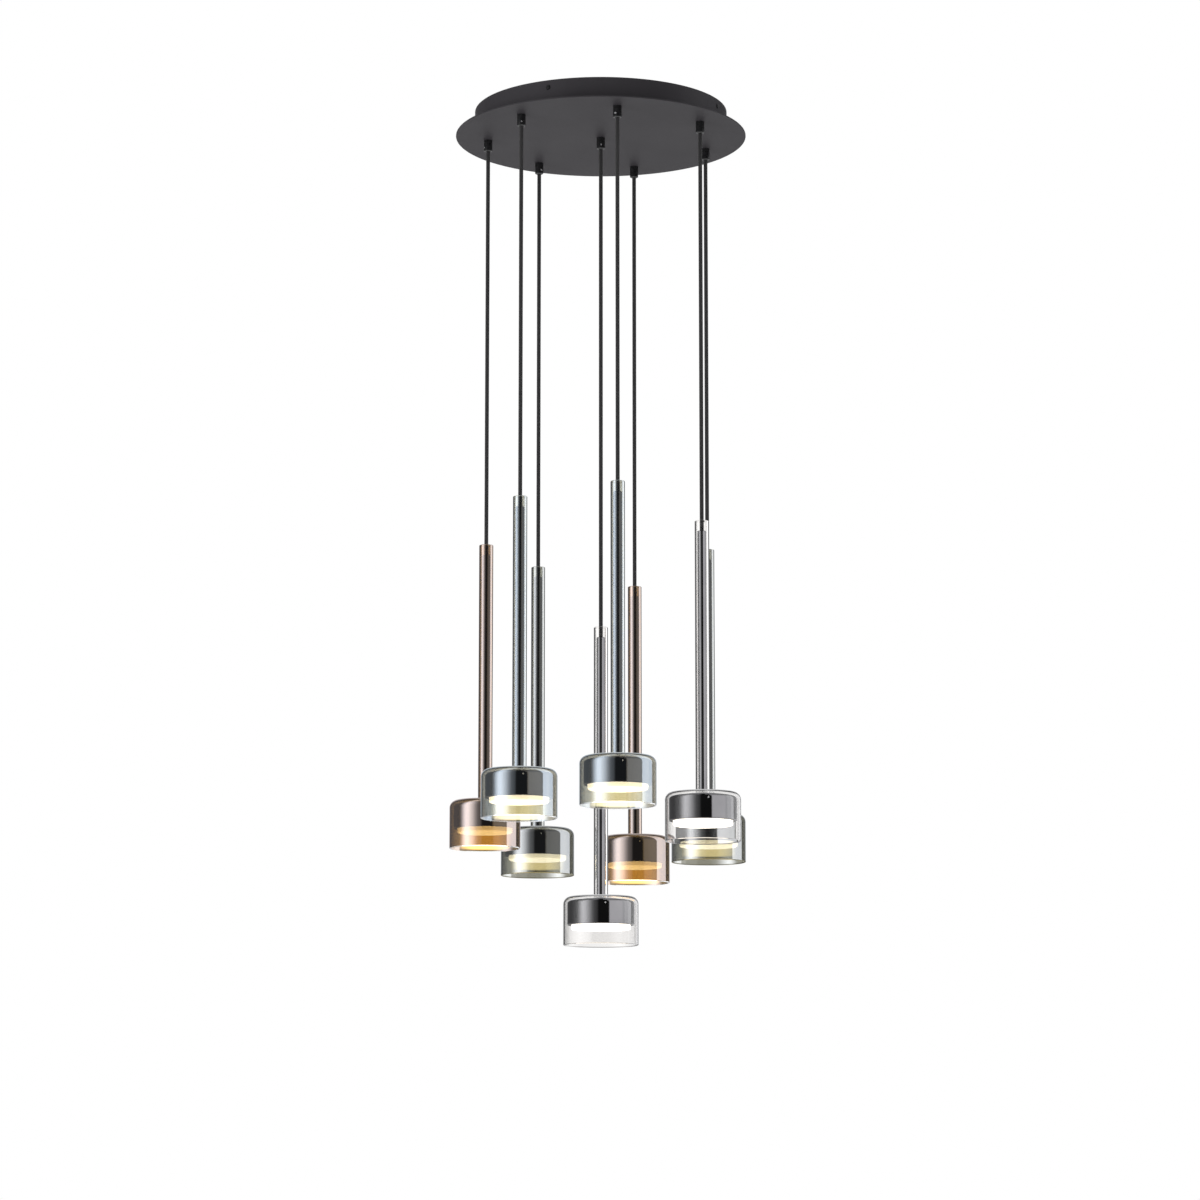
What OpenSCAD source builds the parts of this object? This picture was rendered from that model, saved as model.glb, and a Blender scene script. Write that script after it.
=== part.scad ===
// Cluster of eight blown-glass pendants hanging at different heights from a round ceiling canopy.
// Millimetres, +Z up. The origin is the centre of the canopy on the ceiling plane, so the
// whole light hangs below z = 0. The viewer's side is -Y.
// Pendant 1 hangs in the middle, pendants 2 to 8 follow each other anticlockwise on a ring.

/* [Canopy] */
// Diameter of the round cover plate that carries the cord grips
plate_d = 460; // [446:1:560]
// Thickness of the cover plate
plate_t = 2; // [1.5:0.1:4]
// Outer diameter of the canopy pan above the cover plate
pan_d = 400; // [394:1:440]
// Sheet thickness of the canopy pan
pan_t = 1.5; // [1:0.1:2.5]
// Height from the ceiling to the underside of the cover plate
canopy_h = 40; // [38:0.5:60]
// Inside bend radius between the floor and the wall of the pan
pan_bend = 2; // [1:0.5:6]

/* [Ceiling bracket] */
// Sheet thickness of the ceiling bracket
bracket_t = 2; // [1.5:0.1:3]
// Width of each of the four bracket arms
arm_w = 34; // [28:1:44]
// Diameter of the round middle of the bracket
hub_d = 110; // [90:1:150]
// Diameter of the hole for the supply cable
cable_hole_d = 30; // [16:1:40]
// Diameter of the ceiling screw holes
ceiling_hole_d = 6; // [4:0.1:8]
// Circle on which the ceiling screw holes lie
ceiling_hole_pcd = 240; // [180:1:300]
// Direction of the first bracket arm
bracket_turn = 66; // [60:1:70]
// Gap between the bracket ears and the inside of the pan wall
ear_gap = 0.3; // [0.2:0.1:0.6]
// Diameter of the side screws that hold the pan to the bracket
side_screw_d = 4; // [3:0.5:5]
// Depth of the side screws below the ceiling
side_screw_depth = 11.5; // [10:0.5:16]

/* [Cords and grips] */
// Circle on which the seven outer cords hang
ring_d = 360; // [330:1:366]
// Direction of the second pendant on that circle
ring_turn = 21; // [18:1:24]
// Diameter of the textile cord
cord_d = 6.2; // [5:0.1:6.8]
// Gap all round between a cord and the hole that it runs through
cord_gap = 0.3; // [0.2:0.05:0.5]
// Outer diameter of a cord grip
grip_d = 13.4; // [12.4:0.1:16]
// Length of a cord grip below the cover plate
grip_len = 18; // [14:0.5:26]
// Diameter of the threaded neck of a cord grip
neck_d = 10; // [9.6:0.1:11]
// Diameter of the clamping screw in the side of a cord grip
clamp_screw_d = 3; // [2.5:0.1:3.5]
// Largest angle by which a pendant swings
sway_max = 15; // [5:1:20]

/* [Hanging heights] */
// Ceiling to the glass top of pendant 1, in the middle
drop_1 = 826; // [450:1:1200]
// Ceiling to the glass top of pendant 2
drop_2 = 693; // [450:1:1200]
// Ceiling to the glass top of pendant 3
drop_3 = 735; // [450:1:1200]
// Ceiling to the glass top of pendant 4
drop_4 = 707; // [450:1:1200]
// Ceiling to the glass top of pendant 5
drop_5 = 694; // [450:1:1200]
// Ceiling to the glass top of pendant 6
drop_6 = 643; // [450:1:1200]
// Ceiling to the glass top of pendant 7
drop_7 = 628; // [450:1:1200]
// Ceiling to the glass top of pendant 8
drop_8 = 674; // [450:1:1200]

/* [Glass] */
// Outer diameter of the glass tube
tube_d = 22; // [20:0.5:30]
// Wall thickness of the glass
glass_t = 2.4; // [1.8:0.1:2.6]
// Length of the glass tube above a standard shade
tube_len = 419; // [200:1:600]
// Length of the glass tube above a small shade
small_tube_len = 401; // [200:1:600]
// Outer diameter of a standard shade
shade_d = 116; // [104:1:124]
// Height of a standard shade
shade_h = 75; // [66:1:110]
// Outer diameter of a small shade
small_shade_d = 110; // [104:1:124]
// Height of a small shade
small_shade_h = 75; // [66:1:110]
// Outer radius of the shoulder of a shade
shoulder_r = 12; // [8:0.5:14]
// Outer radius of the blend between tube and shade
blend_r = 4; // [2:0.5:6]

/* [Lamp] */
// Outer diameter of the stem inside the glass tube
stem_d = 13.5; // [12.5:0.1:14]
// Wall thickness of the stem
stem_t = 1.2; // [0.8:0.1:1.5]
// Depth of the stem top below the rim of the glass tube
stem_inset = 16; // [8:1:30]
// Height of the lamp cup
cup_h = 38; // [34:0.5:44]
// Gap between the lamp cup and the glass
cup_gap = 3.6; // [2:0.1:5]
// Wall thickness of the lamp cup round the diffuser
cup_wall = 6.2; // [4:0.1:8]
// Thickness of the top of the lamp cup
cup_top_t = 5; // [4:0.5:7]
// Radius of the upper edge of the lamp cup
cup_edge_r = 5; // [2:0.5:8]
// Height of the ring on which the glass rests
seat_ring_h = 3.6; // [2:0.1:5]
// Depth of the light board above the lower edge of the cup
board_depth = 12; // [9:0.5:14]
// Width of the ledge that carries the light board
ledge_w = 9; // [7:0.5:11]
// Distance by which the diffuser stands out of the cup
diffuser_drop = 7; // [3:0.5:12]
// Wall thickness of the diffuser
diffuser_t = 2.5; // [1.5:0.1:3]
// Gap round the diffuser and the light board
fit_gap = 0.3; // [0.2:0.05:0.5]

/* [Hidden] */
PENDANTS = [1, 2, 3, 4, 5, 6, 7, 8];
PENDANT_PARTS = ["cord", "glass", "stem", "cup", "led_module", "diffuser"];
CANOPY_PARTS = [
    "ceiling_bracket", "canopy_pan", "cover_plate", "cord_grips", "grip_nuts", "clamp_screws",
    "side_screws", "led_driver", "mains_terminal", "distribution_block", "stud_nuts", "canopy_wiring"
];

$fn = 48;
touch = 0.05;
arc_steps = 6;
drops = [drop_1, drop_2, drop_3, drop_4, drop_5, drop_6, drop_7, drop_8];
small_pendants = [3, 5];
clear_glass = [0.86, 0.9, 0.92, 0.4];
smoke_glass = [0.4, 0.41, 0.44, 0.5];
rose_glass = [0.85, 0.6, 0.56, 0.5];
champagne_glass = [0.78, 0.8, 0.68, 0.5];
glass_colours = [
    clear_glass, smoke_glass, rose_glass, smoke_glass,
    rose_glass, champagne_glass, champagne_glass, clear_glass
];
ring_count = len(PENDANTS) - 1;

// Heights in the canopy, from the ceiling down
side_screw_z = -side_screw_depth;
floor_z = -(canopy_h - plate_t - pan_t);
washer_t = 1;
nut_t = 4;
neck_rise = 1;
neck_top_z = floor_z + washer_t + nut_t + neck_rise;
tail_bend_r = 12;
run_z = neck_top_z + tail_bend_r;
grip_end_z = -(canopy_h + grip_len);
mouth_depth = 2.5;
pivot_z = grip_end_z + mouth_depth;
clamp_screw_z = grip_end_z + 5.5;
nut_flats = 14;
washer_d = 17;

// Cord and its holes
cord_hole_d = cord_d + 2 * cord_gap;
mouth_r = cord_d / 2 / cos(sway_max) + mouth_depth * tan(sway_max) + cord_gap;
cord_in_stem = 12;
cord_marks = [0, 100, 200, 300, 400, 500, 600, 700, 800, 900, 1000, 1100];
cord_sides = 12;
clamp_turns = [275, 80, 95, 305, 205, 275, 240, 60];

// Bracket ears
ear_w = 30;
bracket_r = sqrt(pow(pan_d / 2 - pan_t - ear_gap, 2) - pow(ear_w / 2, 2));
ear_edge = 7;
ear_bend_r = 3;
ear_depth = ear_edge - side_screw_z;
bracket_turns = [for (k = [0:3]) bracket_turn + 90 * k];

// Things that stand on the floor of the pan
stud_d = 4;
stud_h = 8;
foot_t = 2;
stud_nut_t = 3.2;
driver_case = [90, 42, 20];
driver_at = [-11, 77];
driver_foot = [10, 16];
driver_foot_y = -11;
mains_size = [30, 20, 14];
mains_at = [-107, 88];
block_size = [118, 22];
block_top_z = run_z + 6;
block_at = [0, -50];
ear_size = [12, 10];
lead_d = 5;
lead_z = floor_z + 6.5;
driver_foot_x = driver_case[0] / 2 + driver_foot[0] / 2;
block_ear_x = 25;
studs = [
    driver_at + [-driver_foot_x, driver_foot_y],
    driver_at + [driver_foot_x, driver_foot_y],
    mains_at + [-mains_size[0] / 2 - ear_size[0] / 2, 0],
    block_at + [-block_ear_x, -block_size[1] / 2 - ear_size[1] / 2],
    block_at + [block_ear_x, -block_size[1] / 2 - ear_size[1] / 2]
];

// Where each cord tail enters the distribution block: place, and which way that face looks
block_x = block_size[0] / 2;
block_y = block_size[1] / 2;
entries = [
    [[0, block_y], 90], [[block_x, 0], 0], [[45, block_y], 90], [[-45, block_y], 90],
    [[-block_x, 0], 180], [[-40, -block_y], 270], [[5, -block_y], 270], [[40, -block_y], 270]
];

// Lamp
neck_len = cup_top_t + 7;
neck_hole_d = 6;
stem_plug = 14;
stem_foot = 10;
stem_nut_t = 5;
stem_nut_flats = 17;
seat_ring_r = [24, 30];
board_t = 1.6;
board_screw_d = 2.5;
board_screw_head = [4.4, 1.6];
board_screw_grip = 5;
board_screw_turns = [90, 210, 330];
light_field_d = 40;
light_field_t = 1;
socket_size = [12, 8, 5];
lamp_lead_d = 4.4;

function is_small(i) = len([for (s = small_pendants) if (s == i) s]) > 0;
function shade_dia(i) = is_small(i) ? small_shade_d : shade_d;
function shade_height(i) = is_small(i) ? small_shade_h : shade_h;
function tube_length(i) = is_small(i) ? small_tube_len : tube_len;
function cup_r(i) = shade_dia(i) / 2 - glass_t - cup_gap;
function bore_r(i) = cup_r(i) - cup_wall;
function board_screw_r(i) = bore_r(i) - diffuser_t - 2 * fit_gap - board_screw_head[0] / 2;
function cup_z(i) = -(tube_length(i) + glass_t + seat_ring_h);
function ring_angle(i) = ring_turn + (i - 2) * 360 / ring_count;
function hang_at(i) = i == 1 ? [0, 0] : ring_d / 2 * [cos(ring_angle(i)), sin(ring_angle(i))];
function arc(centre, r, from, to) =
    [for (k = [0:arc_steps]) let (a = from + (to - from) * k / arc_steps) centre + r * [cos(a), sin(a)]];
function round_box(size, r) = let (x = size[0] / 2 - r, y = size[1] / 2 - r) concat(
    arc([x, y], r, 0, 90), arc([-x, y], r, 90, 180), arc([-x, -y], r, 180, 270), arc([x, -y], r, 270, 360));

module at_cords() {
    for (i = PENDANTS) translate(hang_at(i)) children();
}

module hang(i) {
    translate([hang_at(i)[0], hang_at(i)[1], -drops[i - 1]]) children();
}

module hexagon(flats, h) {
    cylinder(d = flats / cos(30), h = h, $fn = 6);
}

// Cross-shaped bracket with its four ends bent down inside the pan
module ceiling_bracket() {
    color("silver") difference() {
        union() {
            translate([0, 0, -bracket_t]) cylinder(d = hub_d, h = bracket_t, $fn = 96);
            for (a = bracket_turns) rotate(a) bracket_arm();
        }
        translate([0, 0, -2 * bracket_t]) cylinder(d = cable_hole_d, h = 3 * bracket_t);
        for (a = bracket_turns) rotate(a) {
            translate([ceiling_hole_pcd / 2, 0, -2 * bracket_t]) cylinder(d = ceiling_hole_d, h = 3 * bracket_t);
            translate([bracket_r - 2 * bracket_t, 0, side_screw_z]) rotate([0, 90, 0])
                cylinder(d = side_screw_d + 2 * touch, h = 3 * bracket_t);
        }
    }
}

// One arm in profile: a flat strip whose end turns down round a bend
module bracket_arm() {
    inner_r = ear_bend_r - bracket_t;
    bend = [bracket_r - ear_bend_r, -ear_bend_r];
    side = concat(
        [[0, 0]],
        arc(bend, ear_bend_r, 90, 0),
        [[bracket_r, -ear_depth], [bracket_r - bracket_t, -ear_depth]],
        arc(bend, max(inner_r, 0.2), 0, 90),
        [[0, -bracket_t]]
    );
    translate([0, ear_w / 2, 0]) rotate([90, 0, 0]) linear_extrude(ear_w) polygon(side);
    translate([0, -arm_w / 2, -bracket_t]) cube([ceiling_hole_pcd / 2 + arm_w / 2, arm_w, bracket_t]);
}

// Pressed pan: flat floor, rolled bend, upright wall, five welded studs inside
module canopy_pan() {
    outer_r = pan_d / 2;
    bend = [outer_r - pan_t - pan_bend, floor_z + pan_bend];
    side = concat(
        [[0, floor_z - pan_t]],
        arc(bend, pan_bend + pan_t, 270, 360),
        [[outer_r, 0], [outer_r - pan_t, 0]],
        arc(bend, pan_bend, 360, 270),
        [[0, floor_z]]
    );
    color([0.2, 0.19, 0.19]) {
        difference() {
            rotate_extrude($fn = 128) polygon(side);
            at_cords() translate([0, 0, floor_z - 2 * pan_t]) cylinder(d = neck_d + 2 * touch, h = 3 * pan_t);
            for (a = bracket_turns) rotate(a) translate([outer_r - 3 * pan_t, 0, side_screw_z]) rotate([0, 90, 0])
                cylinder(d = side_screw_d + 2 * touch, h = 4 * pan_t);
        }
        for (p = studs) translate([p[0], p[1], floor_z - pan_t / 2]) cylinder(d = stud_d, h = stud_h + pan_t / 2);
    }
}

// Round cover plate with a softened edge, clamped under the pan by the eight cord grips
module cover_plate() {
    edge = plate_t / 4;
    r = plate_d / 2;
    side = [
        [0, -canopy_h], [r - edge, -canopy_h], [r, edge - canopy_h],
        [r, plate_t - canopy_h - edge], [r - edge, plate_t - canopy_h], [0, plate_t - canopy_h]
    ];
    color([0.24, 0.23, 0.22]) difference() {
        rotate_extrude($fn = 128) polygon(side);
        at_cords() translate([0, 0, -canopy_h - plate_t]) cylinder(d = neck_d + 2 * touch, h = 3 * plate_t);
    }
}

// Cord grips: barrel with a rounded end and a bell mouth, threaded neck through plate and pan
module cord_grips() {
    end_r = 1.4;
    hole_r = cord_hole_d / 2;
    side = concat(
        [[mouth_r, grip_end_z]],
        arc([grip_d / 2 - end_r, grip_end_z + end_r], end_r, 270, 360),
        [
            [grip_d / 2, -canopy_h], [neck_d / 2, -canopy_h],
            [neck_d / 2, neck_top_z], [hole_r, neck_top_z], [hole_r, pivot_z]
        ]
    );
    color([0.06, 0.06, 0.06]) for (i = PENDANTS) translate(hang_at(i)) difference() {
        rotate_extrude() polygon(side);
        rotate(clamp_turns[i - 1]) translate([hole_r / 2, 0, clamp_screw_z]) rotate([0, 90, 0])
            cylinder(d = clamp_screw_d + 2 * touch, h = grip_d / 2);
    }
}

module grip_nuts() {
    color([0.75, 0.75, 0.72]) at_cords() difference() {
        translate([0, 0, floor_z]) union() {
            cylinder(d = washer_d, h = washer_t);
            hexagon(nut_flats, washer_t + nut_t);
        }
        translate([0, 0, floor_z - nut_t]) cylinder(d = neck_d + 2 * touch, h = 3 * nut_t);
    }
}

// Headless clamping screws, flush in the side of each grip, with a hexagon socket
module clamp_screws() {
    tip_r = cord_hole_d / 2 + touch;
    socket_depth = 1.2;
    color("gainsboro") for (i = PENDANTS) translate(hang_at(i)) rotate(clamp_turns[i - 1])
        translate([0, 0, clamp_screw_z]) rotate([0, 90, 0]) difference() {
            translate([0, 0, tip_r]) cylinder(d = clamp_screw_d, h = grip_d / 2 - tip_r);
            translate([0, 0, grip_d / 2 - socket_depth]) hexagon(clamp_screw_d / 2, 2 * socket_depth);
        }
}

// Round-headed screws through the pan wall into the bracket ears
module side_screws() {
    head_r = side_screw_d * 0.95;
    head_h = side_screw_d * 0.6;
    side = concat(
        [[0, -5 * bracket_t], [side_screw_d / 2, -5 * bracket_t], [side_screw_d / 2, 0], [head_r, 0]],
        [for (k = [1:arc_steps]) let (a = 90 * k / arc_steps) [head_r * cos(a), head_h * sin(a)]]
    );
    color([0.15, 0.15, 0.15]) for (a = bracket_turns) rotate(a)
        translate([pan_d / 2, 0, side_screw_z]) rotate([0, 90, 0]) difference() {
            rotate_extrude() polygon(side);
            translate([0, 0, head_h / 2]) hexagon(side_screw_d / 2, head_h);
        }
}

// Driver: case with a raised lid, terminal ends and two screw feet
module led_driver() {
    case_r = 3;
    lid_h = 2;
    end_w = 14;
    color("whitesmoke") translate([driver_at[0], driver_at[1], floor_z]) {
        linear_extrude(driver_case[2] - lid_h) polygon(round_box(driver_case, case_r));
        translate([0, 0, driver_case[2] - lid_h])
            linear_extrude(lid_h) polygon(round_box([driver_case[0] - 2 * end_w, driver_case[1] - 2], case_r));
        for (s = [-1, 1]) difference() {
            translate([s * driver_foot_x, driver_foot_y, 0]) linear_extrude(foot_t)
                polygon(round_box([driver_foot[0] + 2, driver_foot[1]], 2));
            translate([s * driver_foot_x, driver_foot_y, -foot_t]) cylinder(d = stud_d + 4 * touch, h = 3 * foot_t);
        }
    }
}

// Three-pole block for the supply, with screw wells above and wire holes through
module mains_terminal() {
    poles = [-9, 0, 9];
    color("white") translate([mains_at[0], mains_at[1], floor_z]) difference() {
        union() {
            linear_extrude(mains_size[2]) polygon(round_box(mains_size, 1.5));
            translate([-mains_size[0] / 2 - ear_size[0] / 2, 0, 0]) linear_extrude(foot_t)
                polygon(round_box([ear_size[0] + 2, ear_size[1]], 2));
        }
        translate([-mains_size[0] / 2 - ear_size[0] / 2, 0, -foot_t]) cylinder(d = stud_d + 4 * touch, h = 3 * foot_t);
        for (x = poles) {
            translate([x, 0, mains_size[2] - 6]) cylinder(d = 5, h = 7);
            translate([x, mains_size[1] / 2 - 6, mains_size[2] / 2]) rotate([-90, 0, 0]) cylinder(d = 3.6, h = 7);
        }
    }
}

// Block that shares the driver's output among the eight cords
module distribution_block() {
    h = block_top_z - floor_z;
    well_pitch = 15;
    color("white") translate([block_at[0], block_at[1], floor_z]) difference() {
        union() {
            linear_extrude(h) polygon(round_box(block_size, 1.5));
            for (s = [-1, 1]) translate([s * block_ear_x, -block_y - ear_size[1] / 2, 0])
                linear_extrude(foot_t) polygon(round_box([ear_size[0], ear_size[1] + 2], 2));
        }
        for (s = [-1, 1]) translate([s * block_ear_x, -block_y - ear_size[1] / 2, -foot_t])
            cylinder(d = stud_d + 4 * touch, h = 3 * foot_t);
        for (k = [-3:3]) translate([k * well_pitch, 0, h - 8]) cylinder(d = 5, h = 9);
    }
}

module stud_nuts() {
    color([0.75, 0.75, 0.72]) for (p = studs) translate([p[0], p[1], floor_z + foot_t]) difference() {
        hexagon(7, stud_nut_t);
        translate([0, 0, -stud_nut_t]) cylinder(d = stud_d + 2 * touch, h = 3 * stud_nut_t);
    }
}

// One cord end inside the canopy: up through its grip, over in a bend and level to its socket
module cord_tail(from, entry) {
    aim = block_at + entry[0] - from;
    reach = norm(aim);
    way = atan2(aim[1], aim[0]);
    slant = way + 180 - entry[1];
    back = cord_d / 2 * abs(tan(slant)) + fit_gap / abs(cos(slant));
    tail_end_z = pivot_z + cord_d / 2 + fit_gap;
    translate(from) rotate(way) {
        translate([0, 0, tail_end_z]) cylinder(d = cord_d, h = neck_top_z - tail_end_z);
        translate([tail_bend_r, 0, neck_top_z]) rotate([90, 0, 0]) rotate(90)
            rotate_extrude(angle = 90) translate([tail_bend_r, 0]) circle(d = cord_d);
        translate([tail_bend_r, 0, run_z]) rotate([0, 90, 0])
            cylinder(d = cord_d, h = reach - tail_bend_r - back);
    }
}

module canopy_wiring() {
    feed_x = 20;
    feed_from = driver_at[1] - driver_case[1] / 2 - fit_gap;
    feed_to = block_at[1] + block_y + fit_gap;
    mains_from = mains_at[0] + mains_size[0] / 2 + fit_gap;
    mains_to = driver_at[0] - driver_case[0] / 2 - fit_gap;
    color([0.12, 0.12, 0.12]) {
        for (i = PENDANTS) cord_tail(hang_at(i), entries[i - 1]);
        translate([feed_x, feed_from, lead_z]) rotate([90, 0, 0]) cylinder(d = lead_d, h = feed_from - feed_to);
        translate([mains_from, mains_at[1], lead_z]) rotate([0, 90, 0])
            cylinder(d = lead_d, h = mains_to - mains_from);
    }
}

// Rings of a cord, each as its height below the swing point and its radius. The end is domed
// so that it turns in the bell mouth of its grip.
function cord_rings(length) = let (r = cord_d / 2) concat(
    [[-0.94 * r, 0.35 * r], [-0.6 * r, 0.8 * r]],
    [for (m = cord_marks) if (m < length - cord_d) [m, r]],
    [[length, r]]
);

module cord(i) {
    length = drops[i - 1] + stem_inset + cord_in_stem + pivot_z;
    rings = cord_rings(length);
    count = len(rings);
    points = [for (ring = rings, k = [0:cord_sides - 1])
        let (a = 360 * k / cord_sides) [ring[1] * cos(a), ring[1] * sin(a), pivot_z - ring[0]]];
    walls = [for (j = [0:count - 2], k = [0:cord_sides - 1])
        let (n = (k + 1) % cord_sides, a = j * cord_sides, b = a + cord_sides) [a + k, b + k, b + n, a + n]];
    ends = [
        [for (k = [0:cord_sides - 1]) k],
        [for (k = [cord_sides - 1:-1:0]) (count - 1) * cord_sides + k]
    ];
    color([0.08, 0.08, 0.08]) translate(hang_at(i)) polyhedron(points, concat(walls, ends));
}

// Tube and shade in one blown piece: even wall, rounded rims, blended joint, round shoulder
module glass(i) {
    tube_r = tube_d / 2;
    rim_r = glass_t / 2;
    shade_r = shade_dia(i) / 2;
    top = -tube_length(i);
    rim = top - shade_height(i);
    blend = [tube_r + blend_r, top + blend_r];
    shoulder = [shade_r - shoulder_r, top - shoulder_r];
    side = concat(
        arc([tube_r - rim_r, -rim_r], rim_r, 180, 0),
        arc(blend, blend_r, 180, 270),
        arc(shoulder, shoulder_r, 90, 0),
        arc([shade_r - rim_r, rim + rim_r], rim_r, 0, -180),
        arc(shoulder, shoulder_r - glass_t, 0, 90),
        arc(blend, blend_r + glass_t, 270, 180)
    );
    color(glass_colours[i - 1]) hang(i) rotate_extrude($fn = 96) polygon(side);
}

// Polished stem: bored head for the cord, hollow tube, solid foot and a neck through the cup
module stem(i) {
    r = stem_d / 2;
    foot = cup_z(i) + stem_inset;
    side = [
        [cord_hole_d / 2, 0], [r - 0.8, 0], [r, -0.8], [r, foot],
        [neck_d / 2, foot], [neck_d / 2, foot - neck_len], [neck_hole_d / 2, foot - neck_len],
        [neck_hole_d / 2, foot + stem_foot], [r - stem_t, foot + stem_foot],
        [r - stem_t, -stem_plug], [cord_hole_d / 2, -stem_plug]
    ];
    color([0.35, 0.35, 0.38]) hang(i) translate([0, 0, -stem_inset]) {
        rotate_extrude() polygon(side);
        translate([0, 0, foot - cup_top_t - stem_nut_t]) difference() {
            hexagon(stem_nut_flats, stem_nut_t);
            translate([0, 0, -stem_nut_t]) cylinder(d = neck_d + 2 * touch, h = 3 * stem_nut_t);
        }
    }
}

// Turned lamp cup: rounded upper edge, ring that carries the glass, ledge for the light board
module cup(i) {
    r = cup_r(i);
    bore = bore_r(i);
    ledge_z = board_depth + board_t - cup_h;
    chamfer = 0.6;
    side = concat(
        [
            [neck_d / 2 + touch, 0], [seat_ring_r[0], 0], [seat_ring_r[0], seat_ring_h],
            [seat_ring_r[1], seat_ring_h], [seat_ring_r[1], 0]
        ],
        arc([r - cup_edge_r, -cup_edge_r], cup_edge_r, 90, 0),
        [
            [r, chamfer - cup_h], [r - chamfer, -cup_h], [bore + chamfer, -cup_h], [bore, chamfer - cup_h],
            [bore, ledge_z], [bore - ledge_w, ledge_z], [bore - ledge_w, -cup_top_t],
            [neck_d / 2 + touch, -cup_top_t]
        ]
    );
    color([0.3, 0.3, 0.32]) hang(i) translate([0, 0, cup_z(i)]) difference() {
        rotate_extrude($fn = 96) polygon(side);
        for (a = board_screw_turns) rotate(a) translate([board_screw_r(i), 0, ledge_z - 1])
            cylinder(d = board_screw_d + 2 * touch, h = board_screw_grip + 2);
    }
}

// Light board: round metal board, light field, three screws, and the socket and lead above
module led_module(i) {
    bore = bore_r(i);
    under = board_depth - cup_h;
    lead_top = -cup_z(i) - stem_inset - stem_plug - 1;
    color([0.9, 0.88, 0.75]) hang(i) translate([0, 0, cup_z(i)]) {
        difference() {
            translate([0, 0, under]) cylinder(r = bore - fit_gap, h = board_t, $fn = 96);
            for (a = board_screw_turns) rotate(a) translate([board_screw_r(i), 0, under - board_t])
                cylinder(d = board_screw_d + 2 * touch, h = 3 * board_t);
        }
        translate([0, 0, under - light_field_t]) cylinder(d = light_field_d, h = light_field_t + touch);
        for (a = board_screw_turns) rotate(a) translate([board_screw_r(i), 0, under - board_screw_head[1]]) {
            cylinder(d = board_screw_head[0], h = board_screw_head[1]);
            cylinder(d = board_screw_d, h = board_screw_head[1] + board_t + board_screw_grip);
        }
        translate([-socket_size[0] / 2, -socket_size[1] / 2, under + board_t - touch])
            cube([socket_size[0], socket_size[1], socket_size[2] + touch]);
        translate([0, 0, under + board_t + socket_size[2] - touch])
            cylinder(d = lamp_lead_d, h = lead_top - under - board_t - socket_size[2] + touch);
    }
}

// Opal dish pushed up into the cup, its face standing out below the cup edge
module diffuser(i) {
    r = bore_r(i) - fit_gap;
    low = -cup_h - diffuser_drop;
    high = board_depth - cup_h - fit_gap;
    face_r = 2.4;
    side = concat(
        [[0, low]],
        arc([r - face_r, low + face_r], face_r, 270, 360),
        [[r, high], [r - diffuser_t, high], [r - diffuser_t, low + diffuser_t], [0, low + diffuser_t]]
    );
    color([1, 0.97, 0.9]) hang(i) translate([0, 0, cup_z(i)]) rotate_extrude($fn = 96) polygon(side);
}

ceiling_bracket();
canopy_pan();
cover_plate();
cord_grips();
grip_nuts();
clamp_screws();
side_screws();
led_driver();
mains_terminal();
distribution_block();
stud_nuts();
canopy_wiring();
for (i = PENDANTS) {
    cord(i);
    glass(i);
    stem(i);
    cup(i);
    led_module(i);
    diffuser(i);
}
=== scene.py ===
import math

import bpy
from mathutils import Euler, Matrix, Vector


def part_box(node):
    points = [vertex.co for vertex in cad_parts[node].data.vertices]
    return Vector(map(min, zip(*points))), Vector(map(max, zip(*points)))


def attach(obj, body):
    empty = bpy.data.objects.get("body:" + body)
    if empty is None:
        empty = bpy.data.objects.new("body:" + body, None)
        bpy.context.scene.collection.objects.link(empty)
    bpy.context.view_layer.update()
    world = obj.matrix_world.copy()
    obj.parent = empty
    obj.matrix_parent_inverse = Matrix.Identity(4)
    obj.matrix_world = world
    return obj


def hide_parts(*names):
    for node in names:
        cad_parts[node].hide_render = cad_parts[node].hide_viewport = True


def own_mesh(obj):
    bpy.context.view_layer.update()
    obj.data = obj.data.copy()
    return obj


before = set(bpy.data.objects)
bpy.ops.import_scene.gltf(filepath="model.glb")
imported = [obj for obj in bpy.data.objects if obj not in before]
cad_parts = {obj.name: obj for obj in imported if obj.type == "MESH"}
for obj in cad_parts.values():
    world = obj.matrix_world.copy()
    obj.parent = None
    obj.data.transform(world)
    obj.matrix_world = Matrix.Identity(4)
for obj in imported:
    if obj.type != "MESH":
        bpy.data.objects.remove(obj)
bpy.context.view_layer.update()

# Sizes in metres that the pieces made here share with the construction
PENDANTS = range(1, 9)
FINISHES = ["clear", "smoke", "rose", "smoke", "rose", "champagne", "champagne", "clear"]
CORD_D = 0.0062
PIVOT_Z = -0.0555
CORD_BELOW_RIM = 0.028
TUBE_R = 0.011
GLASS_T = 0.0024
SHADE_H = 0.075
SHOULDER_R = 0.012
BLEND_R = 0.004

# Set screw on the front of each lamp cup, the only piece that the construction doesn't have
SCREW_R = 0.00125
SCREW_LENGTH = 0.002
SCREW_INSET = 0.0006
SCREW_DOWN = 0.010
SCREW_TURN = 7.6


# Camera

CAMERA_AT = (-0.0013, -5.704, -1.666)
CAMERA_PITCH = 8.8
CAMERA_LENS = 111.1
SENSOR_WIDTH = 36


def make_camera():
    data = bpy.data.cameras.new("camera")
    data.sensor_width = SENSOR_WIDTH
    data.lens = CAMERA_LENS
    camera = bpy.data.objects.new("camera", data)
    camera.location = CAMERA_AT
    camera.rotation_euler = Euler((math.radians(90 + CAMERA_PITCH), 0, 0))
    bpy.context.collection.objects.link(camera)
    bpy.context.scene.camera = camera


# Node materials

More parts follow.
